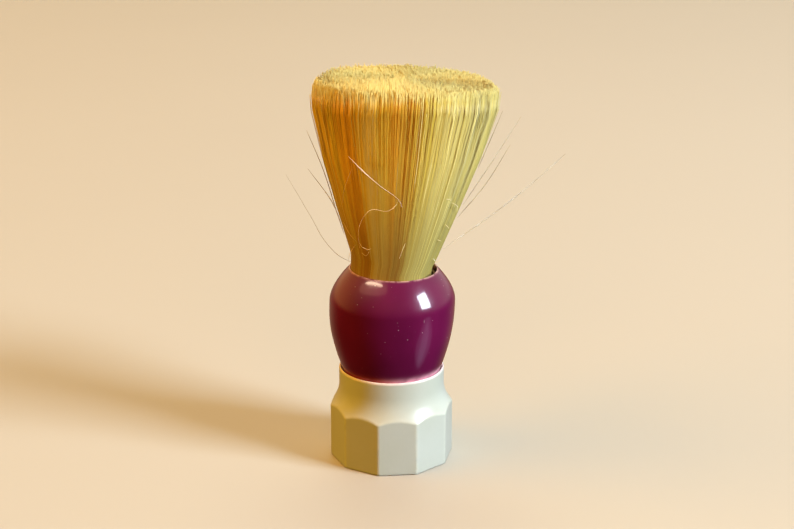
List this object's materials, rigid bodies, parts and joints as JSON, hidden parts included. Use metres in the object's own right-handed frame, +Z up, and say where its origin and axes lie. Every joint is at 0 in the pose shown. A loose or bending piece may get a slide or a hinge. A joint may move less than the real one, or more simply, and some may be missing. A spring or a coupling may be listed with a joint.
{
  "type": "shaving brush",
  "caption": "Vintage shaving brush with a flared, flat-cut bristle tuft, a burgundy bulb and a faceted ivory base; the locks of bristle splay on sprung hinges.",
  "frame": {"origin": "middle of the base's flat underside", "axes": "+Z up the brush's axis from the base to the tuft, -Y the front, +X the side that the tuft leans to"},
  "size_m": [0.0731, 0.0485, 0.1064],
  "materials": {
    "ivory_plastic": "satin",
    "burgundy_plastic": "gloss",
    "plaster": "matte",
    "cement": "matte",
    "wood": "matte",
    "tinplate": "satin",
    "rubber": "matte",
    "twine": "matte",
    "bristle": "satin"
  },
  "bodies": {
    "handle": {"base": "ivory_plastic", "base_filler": "plaster", "base_cement": "cement", "upper_handle": "burgundy_plastic", "handle_plug": "wood", "knot_ferrule": "tinplate", "knot_rubber": "rubber", "knot_cement": "cement", "bristle_roots": "bristle", "root_binding": "twine", "bristle_core": "bristle"},
    "lock_01": {"bristle_lock_01": "bristle", "stray_bristle_08": "bristle", "stray_bristle_09": "bristle"},
    "lock_02": {"bristle_lock_02": "bristle"},
    "lock_03": {"bristle_lock_03": "bristle", "stray_bristle_01": "bristle", "stray_bristle_02": "bristle", "stray_bristle_03": "bristle", "stray_bristle_04": "bristle"},
    "lock_04": {"bristle_lock_04": "bristle"},
    "lock_05": {"bristle_lock_05": "bristle"},
    "lock_06": {"bristle_lock_06": "bristle"},
    "lock_07": {"bristle_lock_07": "bristle"},
    "lock_08": {"bristle_lock_08": "bristle", "stray_bristle_05": "bristle", "stray_bristle_06": "bristle", "stray_bristle_07": "bristle"}
  },
  "joints": [
    {"name": "lock_01_splay", "type": "hinge", "parent": "handle", "child": "lock_01", "pos_m": [-0.00294, -0.00975, 0.05527], "axis": [0.9391, -0.343, -0.0225], "range_deg": [0, 20], "stiffness_Nm_per_rad": 0.05},
    {"name": "lock_02_splay", "type": "hinge", "parent": "handle", "child": "lock_02", "pos_m": [0.005, -0.00941, 0.05497], "axis": [0.9057, 0.4212, -0.0479], "range_deg": [0, 20], "stiffness_Nm_per_rad": 0.05},
    {"name": "lock_03_splay", "type": "hinge", "parent": "handle", "child": "lock_03", "pos_m": [0.01038, -0.00356, 0.05457], "axis": [0.3418, 0.9387, -0.0453], "range_deg": [0, 20], "stiffness_Nm_per_rad": 0.05},
    {"name": "lock_04_splay", "type": "hinge", "parent": "handle", "child": "lock_04", "pos_m": [0.01003, 0.00439, 0.0543], "axis": [-0.4223, 0.9063, -0.0162], "range_deg": [0, 20], "stiffness_Nm_per_rad": 0.05},
    {"name": "lock_05_splay", "type": "hinge", "parent": "handle", "child": "lock_05", "pos_m": [0.00417, 0.00977, 0.05433], "axis": [-0.9391, 0.343, 0.0225], "range_deg": [0, 20], "stiffness_Nm_per_rad": 0.05},
    {"name": "lock_06_splay", "type": "hinge", "parent": "handle", "child": "lock_06", "pos_m": [-0.00378, 0.00944, 0.05463], "axis": [-0.9057, -0.4212, 0.0479], "range_deg": [0, 20], "stiffness_Nm_per_rad": 0.05},
    {"name": "lock_07_splay", "type": "hinge", "parent": "handle", "child": "lock_07", "pos_m": [-0.00915, 0.00358, 0.05503], "axis": [-0.3418, -0.9387, 0.0453], "range_deg": [0, 20], "stiffness_Nm_per_rad": 0.05},
    {"name": "lock_08_splay", "type": "hinge", "parent": "handle", "child": "lock_08", "pos_m": [-0.00881, -0.00437, 0.0553], "axis": [0.4223, -0.9063, 0.0162], "range_deg": [0, 20], "stiffness_Nm_per_rad": 0.05}
  ]
}
